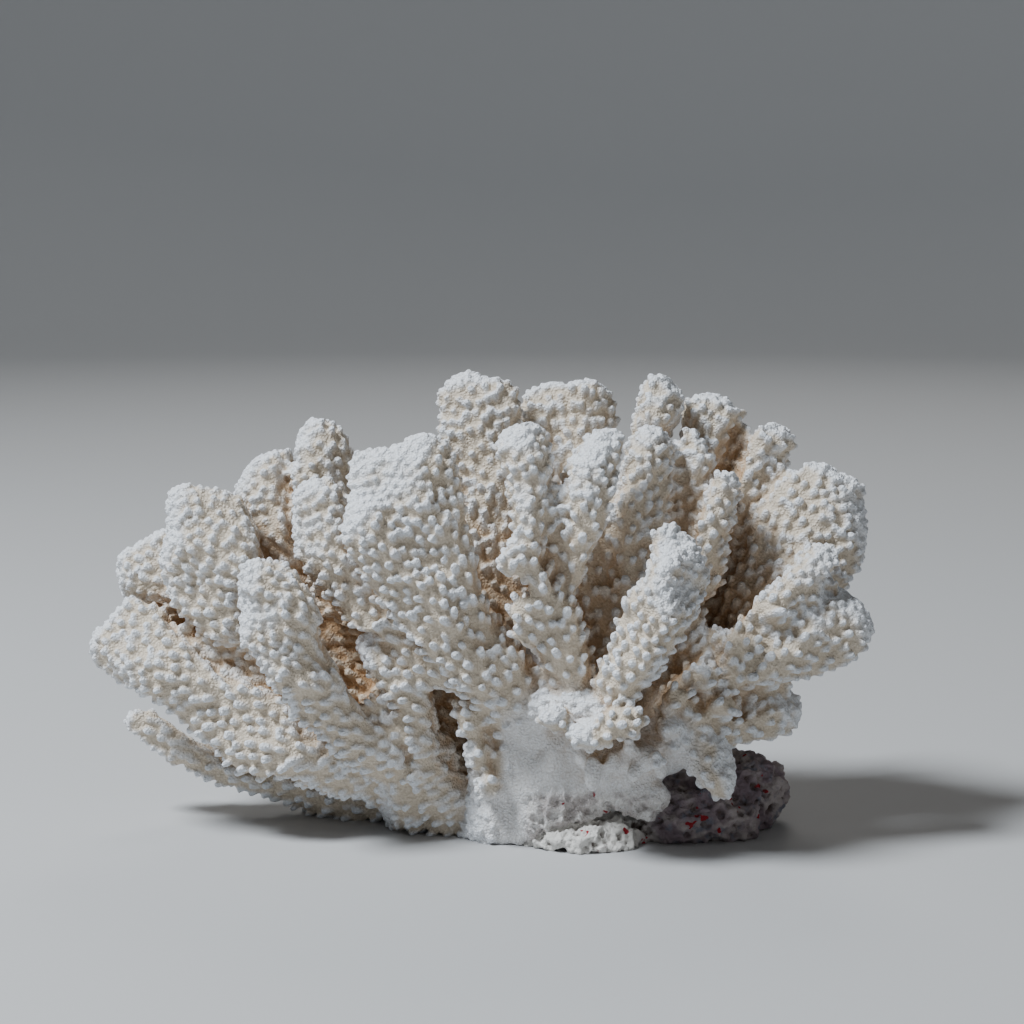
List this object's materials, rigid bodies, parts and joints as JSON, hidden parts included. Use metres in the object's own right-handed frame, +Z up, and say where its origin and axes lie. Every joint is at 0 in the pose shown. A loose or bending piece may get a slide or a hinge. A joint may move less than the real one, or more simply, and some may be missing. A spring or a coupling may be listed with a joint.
{
  "type": "branching coral",
  "caption": "Dry white branching coral colony with knobbly blades and fingers, standing on its holdfast and a scrap of reef rock, to rest on a shelf.",
  "frame": {"origin": "on the flat cut under the holdfast, straight below the trunk, on the surface that the coral stands on", "axes": "+X along the colony's longest side, to the right as seen from its front, -Y towards its front, +Z up"},
  "size_m": [0.2607, 0.1205, 0.1554],
  "materials": {
    "coral": "dry bleached coral skeleton, matte, chalk white with warm crevices",
    "reef_rock": "porous reef rock, matt, greyish mauve with dark red specks"
  },
  "bodies": {
    "root": {"reef_rock": "reef_rock", "holdfast": "coral", "back_centre_blade": "coral", "back_centre_fan": "coral", "back_left_blade": "coral", "back_left_finger": "coral", "back_right_finger": "coral", "centre_left_finger": "coral", "centre_right_finger": "coral", "centre_wing": "coral", "fan_side_lobe": "coral", "front_left_fan": "coral", "front_left_finger": "coral", "front_left_spur": "coral", "front_right_finger": "coral", "left_foot": "coral", "left_low_blade": "coral", "left_rim_blade": "coral", "left_shoulder_blade": "coral", "left_web": "coral", "low_left_finger": "coral", "rear_centre_fan": "coral", "rear_foot": "coral", "rear_left_high_blade": "coral", "rear_left_low_blade": "coral", "rear_low_finger": "coral", "rear_middle_finger": "coral", "rear_right_high_blade": "coral", "rear_right_low_fan": "coral", "right_fan": "coral", "right_inner_blade": "coral", "right_low_fan": "coral", "right_low_lobe": "coral", "right_mid_finger": "coral", "right_mid_knob": "coral", "right_top_blade": "coral", "right_under_lobe": "coral", "right_upper_lobe": "coral"}
  },
  "joints": []
}
